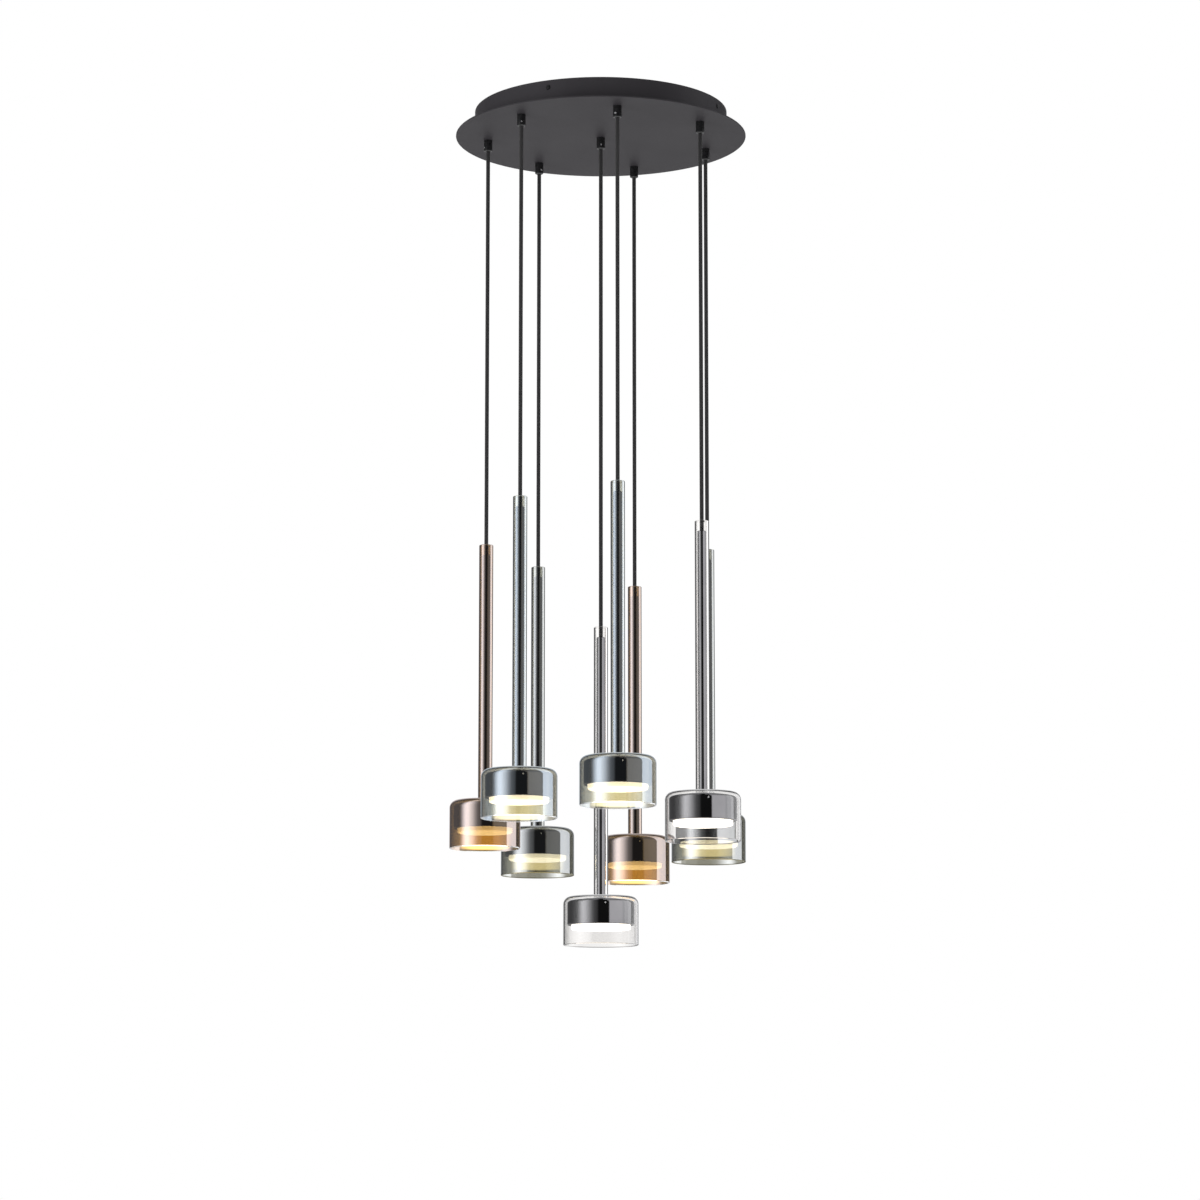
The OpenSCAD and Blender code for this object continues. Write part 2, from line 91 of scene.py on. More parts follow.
class Shading:
    """A node tree being built: add() makes a node, sets its inputs and returns it."""

    def __init__(self, tree):
        self.tree = tree
        tree.nodes.clear()

    def add(self, kind, inputs=None, **settings):
        node = self.tree.nodes.new(kind)
        for name, value in settings.items():
            setattr(node, name, value)
        for socket, value in (inputs or {}).items():
            if isinstance(value, bpy.types.NodeSocket):
                self.tree.links.new(value, node.inputs[socket])
            else:
                node.inputs[socket].default_value = value
        return node

    def math(self, operation, *values):
        return self.add("ShaderNodeMath", dict(enumerate(values)), operation=operation).outputs[0]

    def noise(self, vector, scale, detail):
        return self.add("ShaderNodeTexNoise", {"Vector": vector, "Scale": scale, "Detail": detail}).outputs[0]

    def spread(self, value, low, high, from_low=0.3, from_high=0.7):
        """Maps value from a range, a texture's middle unless given, onto low to high."""
        inputs = {0: value, 1: from_low, 2: from_high, 3: low, 4: high}
        return self.add("ShaderNodeMapRange", inputs).outputs[0]

    def tint(self, value, dark, light, low=0.3, high=0.7):
        """Colour between dark and light as value goes through its middle range."""
        ramp = self.add("ShaderNodeValToRGB", {0: value})
        ramp.color_ramp.elements[0].position = low
        ramp.color_ramp.elements[0].color = (*dark, 1)
        ramp.color_ramp.elements[1].position = high
        ramp.color_ramp.elements[1].color = (*light, 1)
        return ramp.outputs[0]

    def blend(self, share, first, second):
        """Colour that goes from the socket first to the plain colour second as share goes from 0 to 1."""
        inputs = {0: share, 6: first, 7: (*second, 1)}
        return self.add("ShaderNodeMix", inputs, data_type="RGBA").outputs[2]

    def layer(self, share, first, second):
        """Shader that goes from first to second as share goes from 0 to 1."""
        return self.add("ShaderNodeMixShader", {0: share, 1: first.outputs[0], 2: second.outputs[0]})

    def bump(self, height, distance):
        return self.add("ShaderNodeBump", {"Height": height, "Distance": distance}).outputs[0]

    def place(self):
        return self.add("ShaderNodeTexCoord").outputs["Object"]

    def stretched(self, scale):
        return self.add("ShaderNodeMapping", {"Vector": self.place(), "Scale": scale}).outputs[0]

    def split(self, vector):
        return self.add("ShaderNodeSeparateXYZ", {0: vector}).outputs

    def upward(self):
        """1 where the surface faces up, 0 where it faces sideways and -1 where it faces down."""
        return self.split(self.add("ShaderNodeNewGeometry").outputs["Normal"])[2]

    def backfacing(self):
        return self.add("ShaderNodeNewGeometry").outputs["Backfacing"]

    def facing(self):
        """0 where the surface is met head on, 1 where it is only grazed."""
        return self.add("ShaderNodeLayerWeight").outputs["Facing"]

    def surface(self, shader):
        self.add("ShaderNodeOutputMaterial", {"Surface": shader.outputs[0]})

    def principled(self, inputs):
        self.surface(self.add("ShaderNodeBsdfPrincipled", inputs))


def new_material(name):
    material = bpy.data.materials.new(name)
    material.use_nodes = True
    return material, Shading(material.node_tree)


def scaled(colour, factor):
    return tuple(min(1.0, c * factor) for c in colour)


def powder_coat():
    """Fine matt graphite powder coat with its slight orange peel."""
    material, s = new_material("canopy_paint")
    grain = s.noise(s.place(), 2600, 2)
    cloud = s.noise(s.place(), 9, 3)
    s.principled({
        "Base Color": s.tint(cloud, (0.041, 0.038, 0.043), (0.050, 0.047, 0.052)),
        "Specular IOR Level": 0.12,
        "Roughness": s.spread(grain, 0.5, 0.62),
        "Normal": s.bump(grain, 0.00006)})
    return material


def gloss_black():
    """Black lacquer of the cord grips and side screws."""
    material, s = new_material("black_gloss")
    cloud = s.noise(s.place(), 300, 3)
    s.principled({
        "Base Color": s.tint(cloud, (0.010, 0.010, 0.011), (0.018, 0.018, 0.019)),
        "Specular IOR Level": 0.3,
        "Roughness": s.spread(cloud, 0.24, 0.34)})
    return material


def plated_steel(name, colour, rough, spangle=0.0):
    """Plated steel: brushed streaks, and a crystal pattern where spangle is set."""
    material, s = new_material(name)
    streaks = s.noise(s.stretched((900, 900, 60)), 1.0, 4)
    base = s.tint(streaks, scaled(colour, 0.88), colour)
    if spangle:
        cells = s.add("ShaderNodeTexVoronoi", {"Vector": s.place(), "Scale": spangle}).outputs["Color"]
        grey = s.add("ShaderNodeSeparateColor", {0: cells}).outputs[0]
        base = s.tint(grey, scaled(colour, 0.8), colour, 0.0, 1.0)
    s.principled({
        "Base Color": base, "Metallic": 1.0, "Roughness": s.spread(streaks, rough * 0.8, rough * 1.25)})
    return material


# Black nickel of stems and cups
NICKEL_DARK = (0.205, 0.203, 0.212)
NICKEL_LIGHT = (0.24, 0.238, 0.246)
NICKEL_ROUGH = (0.035, 0.075)
TURNING_DEPTH = 0.000004
STEM_TURNING = (20, 20, 30)
CUP_TURNING = (20, 20, 1200)
# Lip that faces down: painted shade, near-black and matt where it would mirror the diffuser's glow
LIP_FACING = (-0.95, -0.85)
LIP_PAINTED_SHADE = (0.012, 0.012, 0.012)
LIP_ROUGH = 0.5


def nickel_colour(s, depth):
    """Slightly cloudy black nickel, darker where depth is less than 1: painted shade for pieces seen behind
    coated glass.
    """
    cloud = s.noise(s.place(), 25, 2)
    return s.tint(cloud, scaled(NICKEL_DARK, depth), scaled(NICKEL_LIGHT, depth))


def stem_nickel(name, depth):
    """Polished black nickel with the faint turning lines of a lathe."""
    material, s = new_material(name)
    turning = s.noise(s.stretched(STEM_TURNING), 1.0, 3)
    s.principled({
        "Base Color": nickel_colour(s, depth), "Metallic": 1.0, "Roughness": s.spread(turning, *NICKEL_ROUGH),
        "Normal": s.bump(turning, TURNING_DEPTH)})
    return material


def lamp_cup(name, depth):
    """Black nickel like the stems. Where it faces down, at the lip, it is painted near-black and matt:
    painted shade in place of the diffuser's mirrored glow.
    """
    material, s = new_material(name)
    turning = s.noise(s.stretched(CUP_TURNING), 1.0, 3)
    downward_shade = s.spread(s.upward(), 1.0, 0.0, *LIP_FACING)
    polish = s.spread(turning, *NICKEL_ROUGH)
    s.principled({
        "Base Color": s.blend(downward_shade, nickel_colour(s, depth), LIP_PAINTED_SHADE), "Metallic": 1.0,
        "Roughness": s.add("ShaderNodeMix", {0: downward_shade, 2: polish, 3: LIP_ROUGH}).outputs[0],
        "Normal": s.bump(turning, TURNING_DEPTH)})
    return material


def white_plastic():
    material, s = new_material("white_plastic")
    grain = s.noise(s.place(), 1400, 2)
    s.principled({
        "Base Color": s.tint(grain, (0.78, 0.78, 0.75), (0.84, 0.84, 0.82)),
        "Roughness": s.spread(grain, 0.4, 0.52), "Normal": s.bump(grain, 0.00003)})
    return material


def light_board():
    """Warm white solder mask."""
    material, s = new_material("board")
    grain = s.noise(s.place(), 900, 2)
    s.principled({
        "Base Color": s.tint(grain, (0.80, 0.78, 0.62), (0.90, 0.88, 0.78)),
        "Roughness": s.spread(grain, 0.35, 0.5)})
    return material


def cable_sheath():
    """Plain sheathed cable ends inside the canopy."""
    material, s = new_material("cable_sheath")
    grain = s.noise(s.stretched((700, 700, 700)), 1.0, 3)
    s.principled({
        "Base Color": s.tint(grain, (0.014, 0.014, 0.015), (0.035, 0.034, 0.034)),
        "Roughness": s.spread(grain, 0.6, 0.85), "Normal": s.bump(grain, 0.0002)})
    return material


BRAID_STRANDS = 12
BRAID_PITCH = 0.0085
BRAID_DEPTH = 0.00022
BRAID_FUZZ = 0.5


def textile_braid():
    """Black braid: two families of strands wind round the cord and pass over and under each other."""
    material, s = new_material("cord_textile")
    split = s.split(s.add("ShaderNodeUVMap", uv_map="braid").outputs[0])
    around = s.math("MULTIPLY", split[0], BRAID_STRANDS)
    along = s.math("MULTIPLY", split[1], BRAID_STRANDS / 2 / BRAID_PITCH)
    turn = 2 * math.pi
    left = s.math("SINE", s.math("MULTIPLY", s.math("ADD", around, along), turn))
    right = s.math("SINE", s.math("MULTIPLY", s.math("SUBTRACT", around, along), turn))
    over = s.math("SINE", s.math("MULTIPLY", along, turn))
    crossing = s.spread(over, 0.0, 1.0, -0.2, 0.2)
    strands = {0: crossing, 2: s.math("ABSOLUTE", left), 3: s.math("ABSOLUTE", right)}
    height = s.add("ShaderNodeMix", strands).outputs[0]
    fuzz = s.noise(s.stretched((2500, 2500, 900)), 1.0, 3)
    weave = s.math("ADD", height, s.math("MULTIPLY", fuzz, BRAID_FUZZ))
    # Colour follows the weave's height, darker where the strands dip: painted shade between strands, with
    # random fuzz in the tone
    s.principled({
        "Base Color": s.tint(weave, (0.010, 0.010, 0.011), (0.036, 0.035, 0.036), 0.3, 1.3),
        "Roughness": s.spread(weave, 0.65, 0.9, 0.2, 1.3),
        "Sheen Weight": 0.25, "Sheen Roughness": 0.4,
        "Normal": s.bump(weave, BRAID_DEPTH)})
    return material


DIFFUSER_GLOW = 3.5
SIDE_LOSS = 0.4
SIDE_FACING = (-0.9, -0.4)


def lit_opal():
    """Opal acrylic lit from behind, warm white, weaker on its side wall."""
    material, s = new_material("opal")
    cloud = s.noise(s.place(), 40, 2)
    side = s.spread(s.upward(), 0.0, SIDE_LOSS, *SIDE_FACING)
    glow = s.tint(cloud, (1.0, 0.90, 0.74), (1.0, 0.93, 0.80))
    s.principled({
        "Base Color": s.tint(cloud, (0.86, 0.85, 0.82), (0.9, 0.89, 0.87)),
        "Roughness": s.spread(cloud, 0.3, 0.4),
        "Emission Color": s.blend(side, glow, (0.0, 0.0, 0.0)), "Emission Strength": DIFFUSER_GLOW})
    return material


# Each glass. through is the colour it lets pass, and grazing the share of that at a grazing view. mirror is
# the share that its coated outside mirrors. lit is the strength of a painted reflection of the lit diffuser,
# an emission on the inside from lit_from, a share of the whole height, upwards. rim is the colour of a darker
# lower rim.
TINTS = {
    "clear": {"through": (0.965, 0.955, 0.945), "grazing": 0.75, "rim": (0.64, 0.63, 0.625)},
    "smoke": {
        "through": (0.44, 0.43, 0.34), "grazing": 0.25, "rim": (0.30, 0.28, 0.20),
        "mirror": 0.42, "mirror_colour": (0.93, 0.96, 1.0),
        "lit": 2.3, "lit_colour": (1.0, 0.85, 0.48), "lit_from": 0.024},
    "rose": {
        "through": (0.42, 0.29, 0.12), "grazing": 0.15,
        "mirror": 0.48, "mirror_colour": (1.0, 0.86, 0.84),
        "lit": 2.0, "lit_colour": (1.0, 0.62, 0.19), "lit_from": 0.004},
    "champagne": {
        "through": (0.76, 0.71, 0.57), "grazing": 0.65,
        "mirror": 0.40, "mirror_colour": (0.74, 0.86, 1.0),
        "lit": 1.35, "lit_colour": (1.0, 0.92, 0.56), "lit_from": 0.004},
}
SMOOTH_GLASS = {"Roughness": 0.0, "IOR": 1.47}
GLASS_WAVES = (16, 16, 7)
WAVE_DEPTH = 0.0001
FILM_WAVES = (6, 6, 3)
GRAZING_FROM = (0.3, 0.8)

# Band of painted reflection of the lit diffuser, an emission on the inside: its soft top and lower edge as
# shares of the whole height, the most that it covers and the range of grazing over which it fades
BAND_TOP = (0.052, 0.06)
BAND_EDGE = 0.006
BAND_SHARE = 0.5
BAND_FADE = (0.05, 0.36)


def blown_waves(s):
    """The slight waves of blowing."""
    return s.noise(s.stretched(GLASS_WAVES), 1.0, 1)


def glass_outside(finish, tint):
    """Outside of a shade, which gives the glass its colour and is a half mirror where it is coated."""
    material, s = new_material(f"glass_{finish}_outside")
    through = tint["through"]
    waves = blown_waves(s)
    normal = s.bump(waves, WAVE_DEPTH)
    head_on = s.tint(waves, scaled(through, 0.97), scaled(through, 1.03))
    grazed = s.spread(s.facing(), 0.0, 1.0, *GRAZING_FROM)
    colour = s.blend(grazed, head_on, scaled(through, tint["grazing"]))
    glass = s.add("ShaderNodeBsdfGlass", {"Color": colour, "Normal": normal, **SMOOTH_GLASS})
    if "mirror" not in tint:
        s.surface(glass)
        return material
    film = s.noise(s.stretched(FILM_WAVES), 1.0, 1)
    mirror_colour = s.tint(film, scaled(tint["mirror_colour"], 0.96), tint["mirror_colour"])
    mirror = s.add("ShaderNodeBsdfAnisotropic", {"Color": mirror_colour, "Roughness": 0.0, "Normal": normal})
    s.surface(s.layer(s.spread(film, tint["mirror"] * 0.95, tint["mirror"] * 1.05), glass, mirror))
    return material


def glass_inside(finish, tint):
    """Inside of a shade, with a painted reflection of the lit diffuser: an emission band where a coated glass
    would mirror it.
    """
    material, s = new_material(f"glass_{finish}_inside")
    waves = blown_waves(s)
    normal = s.bump(waves, WAVE_DEPTH)
    colour = s.tint(waves, (0.985, 0.985, 0.985), (0.995, 0.995, 0.995))
    glass = s.add("ShaderNodeBsdfGlass", {"Color": colour, "Normal": normal, **SMOOTH_GLASS})
    if "lit" not in tint:
        s.surface(glass)
        return material
    # Emission that paints the lit diffuser's reflection on the inside of the glass
    painted_reflection_colour = s.tint(waves, scaled(tint["lit_colour"], 0.95), tint["lit_colour"])
    light = s.add("ShaderNodeEmission", {"Color": painted_reflection_colour, "Strength": tint["lit"] / BAND_SHARE})
    s.surface(s.layer(painted_reflection_band(s, tint["lit_from"]), glass, light))
    material.cycles.emission_sampling = "NONE"
    return material


def painted_reflection_band(s, start):
    """Share of the inside that carries the painted reflection of the lit diffuser: a band under it, seen from
    inside the shade.
    """
    height = s.split(s.add("ShaderNodeTexCoord").outputs["Generated"])[2]
    above_start = s.spread(height, 0.0, 1.0, start, start + BAND_EDGE)
    below_top = s.spread(height, 1.0, 0.0, *BAND_TOP)
    from_inside = s.math("SUBTRACT", 1.0, s.backfacing())
    head_on = s.spread(s.facing(), BAND_SHARE, 0.0, *BAND_FADE)
    band = s.math("MULTIPLY", above_start, below_top)
    return s.math("MULTIPLY", band, s.math("MULTIPLY", from_inside, head_on))


def glass_rim(finish, colour):
    """Fire-polished lower rim of a shade, in darker glass than the rest of the shade."""
    material, s = new_material(f"glass_{finish}_rim")
    colour = s.tint(blown_waves(s), scaled(colour, 0.9), colour)
    s.surface(s.add("ShaderNodeBsdfGlass", {"Color": colour, **SMOOTH_GLASS}))
    return material


def glass_materials(finish):
    """Outside and inside of one glass and, where it has its own, its lower rim."""
    tint = TINTS[finish]
    materials = [glass_outside(finish, tint), glass_inside(finish, tint)]
    if "rim" in tint:
        materials.append(glass_rim(finish, tint["rim"]))
    return materials


# Turned pieces

SAME_PLACE = 1e-7


def line(start, end, slot):
    """A straight run of a profile from start to end, each (radius, height). The outside is on the right."""
    dr, dz = end[0] - start[0], end[1] - start[1]
    size = math.hypot(dr, dz)
    normal = (dz / size, -dr / size)
    return {"points": [start, end], "normals": [normal, normal], "slot": slot}


def arc(centre, radius, start, end, steps, slot):
    """A round run of a profile between two angles in degrees. It bulges outwards where the angle grows."""
    side = 1 if end > start else -1
    points, normals = [], []
    for k in range(steps + 1):
        a = math.radians(start + (end - start) * k / steps)
        points.append((centre[0] + radius * math.cos(a), centre[1] + radius * math.sin(a)))
        normals.append((side * math.cos(a), side * math.sin(a)))
    return {"points": points, "normals": normals, "slot": slot}


def joined(*runs):
    """Puts a straight run between round runs that don't meet, and after the last one if it doesn't close."""
    whole = []
    for k, run in enumerate(runs):
        whole.append(run)
        end, start = run["points"][-1], runs[(k + 1) % len(runs)]["points"][0]
        if math.dist(end, start) > SAME_PLACE:
            whole.append(line(end, start, run["slot"]))
    return whole


def directions(count):
    """Cosine and sine of each of count even directions round a circle."""
    angles = [2 * math.pi * j / count for j in range(count)]
    return [(math.cos(a), math.sin(a)) for a in angles]


def turned(name, runs, at, segments, materials):
    """Mesh of a closed profile turned about the vertical through at, with exact normals."""
    verts, faces, slots, normals = [], [], [], []
    rings = sum(len(run["points"]) - 1 for run in runs)
    turns = directions(segments)
    ring = 0
    for run in runs:
        for k in range(len(run["points"]) - 1):
            r, z = run["points"][k]
            verts += [(at[0] + r * c, at[1] + r * s, at[2] + z) for c, s in turns]
            here, there = ring * segments, (ring + 1) % rings * segments
            near, far = run["normals"][k], run["normals"][k + 1]
            for j in range(segments):
                n = (j + 1) % segments
                faces.append((here + j, here + n, there + n, there + j))
                slots.append(run["slot"])
                corners = (turns[j], near), (turns[n], near), (turns[n], far), (turns[j], far)
                normals += [(nr * c, nr * s, nz) for (c, s), (nr, nz) in corners]
            ring += 1
    mesh = bpy.data.meshes.new(name)
    mesh.from_pydata(verts, [], faces)
    for material in materials:
        mesh.materials.append(material)
    mesh.polygons.foreach_set("material_index", slots)
    mesh.polygons.foreach_set("use_smooth", [True] * len(faces))
    mesh.normals_split_custom_set(normals)
    mesh.update()
    return linked(name, mesh)


def linked(name, mesh):
    piece = bpy.data.objects.new(name, mesh)
    bpy.context.collection.objects.link(piece)
    return piece


def keep_from_mirrors(piece):
    """Leaves a pendant's piece out of what polished surfaces mirror, so that they show the studio."""
    piece.visible_glossy = False


def hanging_at(node):
    """Axis of a pendant's piece: its middle in plan."""
    low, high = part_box(node)
    return (low[0] + high[0]) / 2, (low[1] + high[1]) / 2


# Cords

CORD_SIDES = 32
CORD_SPACING = 0.01

# Domed upper end of a cord: height above the pivot and radius of each ring, as shares of the cord's radius
CORD_DOME = [(0.94, 0.35), (0.8, 0.58), (0.6, 0.8), (0.3, 0.95)]


def cord_rings(length):
    """Depth below the pivot and radius of each ring of a cord."""
    r = CORD_D / 2
    steps = round(length / CORD_SPACING)
    dome = [(-height * r, share * r) for height, share in CORD_DOME]
    return dome + [(length * k / steps, r) for k in range(steps + 1)]


def cord_mesh(name, at, length, braid):
    """Round cord with its lengths round and along in the UV map that its braid uses."""
    rings, turns = cord_rings(length), directions(CORD_SIDES)
    verts = [(at[0] + r * c, at[1] + r * s, at[2] - depth) for depth, r in rings for c, s in turns]
    faces, coords = [], []
    for k in range(len(rings) - 1):
        above, below = k * CORD_SIDES, (k + 1) * CORD_SIDES
        for j in range(CORD_SIDES):
            n = (j + 1) % CORD_SIDES
            faces.append((above + j, below + j, below + n, above + n))
            corners = (j, k), (j, k + 1), (j + 1, k + 1), (j + 1, k)
            coords += [(step / CORD_SIDES, rings[ring][0]) for step, ring in corners]
    last = (len(rings) - 1) * CORD_SIDES
    faces.append(tuple(range(CORD_SIDES)))
    faces.append(tuple(last + j for j in reversed(range(CORD_SIDES))))
    coords += [(0.0, 0.0)] * (2 * CORD_SIDES)
    mesh = bpy.data.meshes.new(name)
    mesh.from_pydata(verts, [], faces)
    uv = mesh.uv_layers.new(name="braid")
    uv.data.foreach_set("uv", [c for pair in coords for c in pair])
    mesh.polygons.foreach_set("use_smooth", [True] * (len(faces) - 2) + [False] * 2)
    mesh.materials.append(braid)
    mesh.update()
    return mesh


def make_cord(i, braid):
    """Round cord from its bell mouth down into the stem, its end domed as it sits in the grip."""
    x, y = hanging_at(f"glass_{i}")
    length = PIVOT_Z - (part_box(f"glass_{i}")[1][2] - CORD_BELOW_RIM)
    name = f"textile_cord_{i}"
    piece = linked(name, cord_mesh(name, (x, y, PIVOT_Z), length, braid))
    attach(piece, f"cord_{i}")
    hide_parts(f"cord_{i}")
    keep_from_mirrors(piece)
    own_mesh(piece)


# Glass and set screws

OUTSIDE, INSIDE = 0, 1
GLASS_SEGMENTS = 128
SHOULDER_STEPS = 14
BLEND_STEPS = 8
RIM_STEPS = 10
SCREW_SIDES = 32


def glass_profile(shade_r, rim, rim_slot):
    """Tube and shade from the outer shoulder up, over and down the inside, with 0 at the tube's upper rim."""
    top, rim_r = rim + SHADE_H, GLASS_T / 2
    blend = (TUBE_R + BLEND_R, top + BLEND_R)
    shoulder = (shade_r - SHOULDER_R, top - SHOULDER_R)
    runs = joined(
        arc(shoulder, SHOULDER_R, 0, 90, SHOULDER_STEPS, OUTSIDE),
        arc(blend, BLEND_R, 270, 180, BLEND_STEPS, OUTSIDE),
        arc((TUBE_R - rim_r, -rim_r), rim_r, 0, 180, RIM_STEPS, INSIDE),
        arc(blend, BLEND_R + GLASS_T, 180, 270, BLEND_STEPS, INSIDE),
        arc(shoulder, SHOULDER_R - GLASS_T, 90, 0, SHOULDER_STEPS, INSIDE),
        arc((shade_r - rim_r, rim + rim_r), rim_r, 180, 360, RIM_STEPS, INSIDE),
    )
    upper_rim, lower_rim, outer_wall = runs[4], runs[-2], runs[-1]
    upper_rim["slot"] = OUTSIDE
    lower_rim["slot"] = rim_slot
    outer_wall["slot"] = OUTSIDE
    return runs


def make_glass(i, materials):
    """One-piece tube and shade: even wall, rounded rims, blended joint and round shoulder."""
    low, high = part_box(f"glass_{i}")
    runs = glass_profile((high[0] - low[0]) / 2, low[2] - high[2], len(materials) - 1)
    x, y = hanging_at(f"glass_{i}")
    piece = turned(f"blown_glass_{i}", runs, (x, y, high[2]), GLASS_SEGMENTS, materials)
    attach(piece, f"pendant_{i}")
    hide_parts(f"glass_{i}")
    keep_from_mirrors(piece)


def make_set_screw(i, steel):
    """Set screw that shows as a bright dot on the front of each lamp cup."""
    low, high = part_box(f"cup_{i}")
    x, y = hanging_at(f"glass_{i}")
    out = (high[0] - low[0]) / 2 - SCREW_INSET
    turn = math.radians(SCREW_TURN - 90)
    under_shade_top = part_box(f"glass_{i}")[0][2] + SHADE_H - GLASS_T
    bpy.ops.mesh.primitive_cylinder_add(
        vertices=SCREW_SIDES, radius=SCREW_R, depth=SCREW_LENGTH, rotation=(0, math.pi / 2, turn),
        location=(x + out * math.cos(turn), y + out * math.sin(turn), under_shade_top - SCREW_DOWN))
    piece = bpy.context.object
    piece.name = f"set_screw_{i}"
    piece.data.materials.append(steel)
    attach(piece, f"pendant_{i}")
    keep_from_mirrors(piece)


# Construction pieces that stay in view

# Painted shade: how dark the nickel is made on stems behind coated glass and on cups behind smoke and
# champagne glass
STEM_PAINTED_SHADE = 0.35
CUP_PAINTED_SHADE = 0.7


def construction_materials(screw_steel):
    """Material of each piece by its node's name, or by that name without its number."""
    paint, lacquer, plastic = powder_coat(), gloss_black(), white_plastic()
    zinc = plated_steel("zinc_steel", (0.6, 0.6, 0.58), 0.3)
    materials = {
        "canopy_pan": paint,
        "cover_plate": paint,
        "cord_grips": lacquer,
        "side_screws": lacquer,
        "ceiling_bracket": plated_steel("bracket_steel", (0.62, 0.62, 0.61), 0.36, 160),
        "grip_nuts": zinc,
        "stud_nuts": zinc,
        "clamp_screws": screw_steel,
        "led_driver": plastic,
        "mains_terminal": plastic,
        "distribution_block": plastic,
        "canopy_wiring": cable_sheath(),
        "stem": stem_nickel("black_nickel", 1.0),
        "cup": lamp_cup("lamp_cup", 1.0),
        "led_module": light_board(),
        "diffuser": lit_opal(),
    }
    # Darker copies of the nickel, painted shade for pieces behind coated glass
    shaded_stem = stem_nickel("black_nickel_painted_shade", STEM_PAINTED_SHADE)
    shaded_cup = lamp_cup("lamp_cup_painted_shade", CUP_PAINTED_SHADE)
    for i in PENDANTS:
        if FINISHES[i - 1] != "clear":
            materials[f"stem_{i}"] = shaded_stem
        if FINISHES[i - 1] in ("smoke", "champagne"):
            materials[f"cup_{i}"] = shaded_cup
    return materials


def dress(name, node, materials):
    """Gives a piece of the construction its material and keeps a pendant's piece from mirrors."""
    kind = name.rsplit("_", 1)[0]
    node.data.materials.clear()
    node.data.materials.append(materials.get(name) or materials[kind])
    if kind in ("stem", "cup", "led_module", "diffuser"):
        keep_from_mirrors(node)


# Studio

FLOOR_Z = -2.5
FLOOR_SIZE = 16
FLOOR_WHITE = 0.75


def make_floor():
    """Pale floor that takes the object's shadow, blends into the white backdrop and is open from below."""
    bpy.ops.mesh.primitive_plane_add(size=FLOOR_SIZE, location=(0, 0, FLOOR_Z))
    floor = bpy.context.object
    floor.name = "floor"
    material, s = new_material("pale_floor")
    grain = s.noise(s.place(), 3, 2)
    paint = s.add("ShaderNodeBsdfPrincipled", {
        "Base Color": s.tint(grain, (0.86, 0.86, 0.86), (0.88, 0.88, 0.88)),
        "Roughness": s.spread(grain, 0.7, 0.8), "Specular IOR Level": 0.1})
    path = s.add("ShaderNodeLightPath").outputs
    mirrored_or_through = s.math("MAXIMUM", path["Is Glossy Ray"], path["Is Transmission Ray"])
    seen = s.math("MAXIMUM", path["Is Camera Ray"], mirrored_or_through)
    white = s.add("ShaderNodeEmission", {"Color": (1, 1, 1, 1), "Strength": 1.0})
    top = s.layer(s.math("MULTIPLY", seen, FLOOR_WHITE), paint, white)
    s.surface(s.layer(s.backfacing(), top, s.add("ShaderNodeBsdfTransparent")))
    floor.data.materials.append(material)


# Studio as polished surfaces see it: degrees from the camera's side, + to its right, and brightness there
REFLECTED = [
    (-180, 1.0), (-164, 1.0), (-154, 0.15), (-88, 0.12), (-81, 0.42), (-72, 1.25), (-64, 1.85), (-55, 1.85),
    (-47, 1.4), (-39, 1.0), (-30, 0.5), (-22, 0.22), (-12, 0.12), (-7, 0.02), (27, 0.02), (31, 0.13),
    (50, 0.17), (76, 0.2), (79, 1.5), (122, 1.45), (125, 0.08), (154, 0.1), (164, 1.0), (180, 1.0),
]
BRIGHTEST = max(grey for _, grey in REFLECTED)
STUDIO_TINT = (0.97, 0.98, 1.0)

# Height at which that studio gets dimmer, as the upward share of the direction, and how dim it gets
DIM_ABOVE = (0.55, 0.85)
DIM_TO = 0.45

# Its bright part behind glass: where it starts and ends, softly, as shares of a full turn, and its colour
PANEL_START = (0.575, 0.585)
PANEL_END = (0.715, 0.725)
PANEL_COLOUR = (0.9, 0.9, 0.92)

# Light that plain surfaces get from all round
AMBIENT = 0.62


def studio_bands(s, share):
    """Bands of the studio by the share of a full turn, with its bright part for rays that passed glass."""
    ramp = s.add("ShaderNodeValToRGB", {0: share})
    stops = ramp.color_ramp.elements
    while len(stops) < len(REFLECTED):
        stops.new(0.5)
    for stop, (angle, grey) in zip(stops, REFLECTED):
        stop.position = angle / 360 + 0.5
        stop.color = (*scaled(STUDIO_TINT, grey / BRIGHTEST), 1)
    start = s.spread(share, 0.0, 1.0, *PANEL_START)
    end = s.spread(share, 1.0, 0.0, *PANEL_END)
    depth = s.add("ShaderNodeLightPath").outputs["Transmission Depth"]
    behind_glass = s.math("GREATER_THAN", depth, 1.5)
    panel = s.math("MULTIPLY", s.math("MULTIPLY", start, end), behind_glass)
    return s.blend(panel, ramp.outputs[0], PANEL_COLOUR)


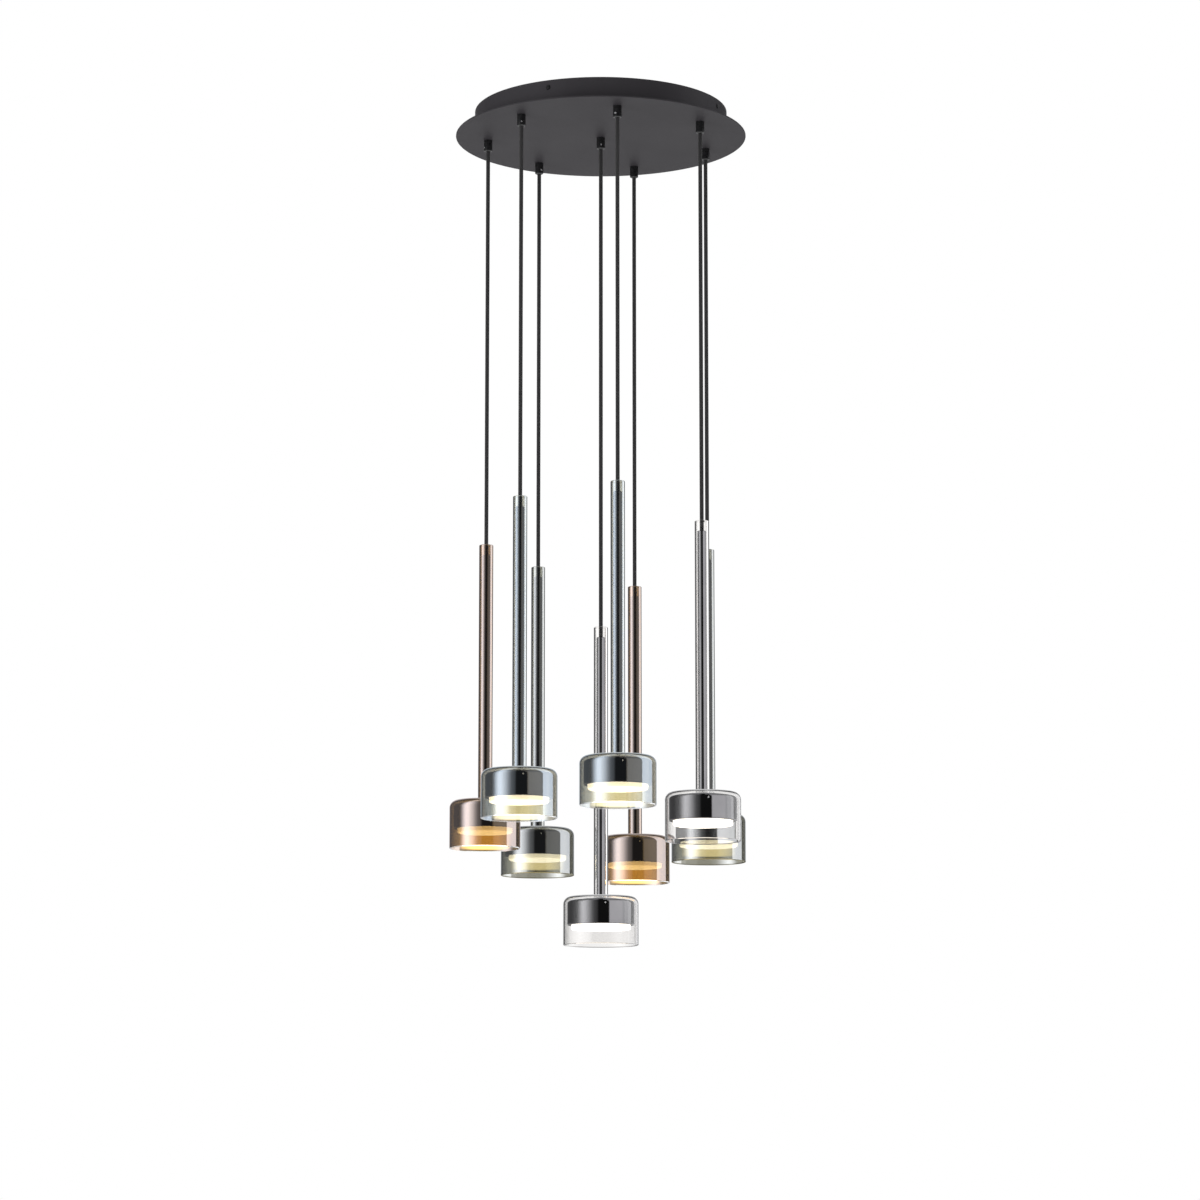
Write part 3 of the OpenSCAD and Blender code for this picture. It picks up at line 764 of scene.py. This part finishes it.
def make_world():
    """White for the camera and through glass, soft light for plain surfaces, and the bands for mirrors."""
    world = bpy.data.worlds.new("studio")
    world.use_nodes = True
    bpy.context.scene.world = world
    s = Shading(world.node_tree)
    sideways, forwards, upwards = s.split(s.add("ShaderNodeTexCoord").outputs["Generated"])
    turn = s.math("ARCTAN2", sideways, s.math("MULTIPLY", forwards, -1.0))
    share = s.math("ADD", s.math("DIVIDE", turn, 2 * math.pi), 0.5)
    dimmer = s.spread(upwards, 1.0, DIM_TO, *DIM_ABOVE)
    bands = s.add("ShaderNodeBackground", {
        "Color": studio_bands(s, share), "Strength": s.math("MULTIPLY", dimmer, BRIGHTEST)})
    white = s.add("ShaderNodeBackground", {"Color": (1, 1, 1, 1), "Strength": 1.0})
    ambient = s.add("ShaderNodeBackground", {"Color": (1, 1, 1, 1), "Strength": AMBIENT})
    path = s.add("ShaderNodeLightPath").outputs
    seen = s.math("MAXIMUM", path["Is Camera Ray"], path["Is Transmission Ray"])
    mirrored = s.math("GREATER_THAN", path["Glossy Depth"], 0.5)
    whole = s.layer(mirrored, s.layer(seen, ambient, white), bands)
    s.add("ShaderNodeOutputWorld", {"Surface": whole.outputs[0]})


def make_lamp(name, at, aim, size, power):
    """Soft square lamp at one place, turned to another. Neither mirrors nor glass show it."""
    data = bpy.data.lights.new(name, "AREA")
    data.shape = "SQUARE"
    data.size = size
    data.energy = power
    lamp = bpy.data.objects.new(name, data)
    lamp.location = at
    toward = [b - a for a, b in zip(at, aim)]
    lamp.rotation_mode = "QUATERNION"
    lamp.rotation_quaternion = Vector(toward).to_track_quat("-Z", "Y")
    lamp.visible_glossy = False
    lamp.visible_transmission = False
    bpy.context.collection.objects.link(lamp)


# The whole scene

LAMPS_AIM = (0, 0, -0.4)

bpy.context.scene.view_settings.view_transform = "Standard"
make_camera()
braid = textile_braid()
for i in PENDANTS:
    make_cord(i, braid)
glasses = {finish: glass_materials(finish) for finish in TINTS}
screw_steel = plated_steel("screw_steel", (0.85, 0.85, 0.85), 0.5)
for i in PENDANTS:
    make_glass(i, glasses[FINISHES[i - 1]])
    make_set_screw(i, screw_steel)
materials = construction_materials(screw_steel)
for name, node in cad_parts.items():
    if not node.hide_render:
        dress(name, node, materials)
make_floor()
make_world()
make_lamp("key", at=(-3.2, -2.2, -1.6), aim=LAMPS_AIM, size=2.2, power=64)
make_lamp("fill", at=(3.0, -2.6, -1.2), aim=LAMPS_AIM, size=2.0, power=3)
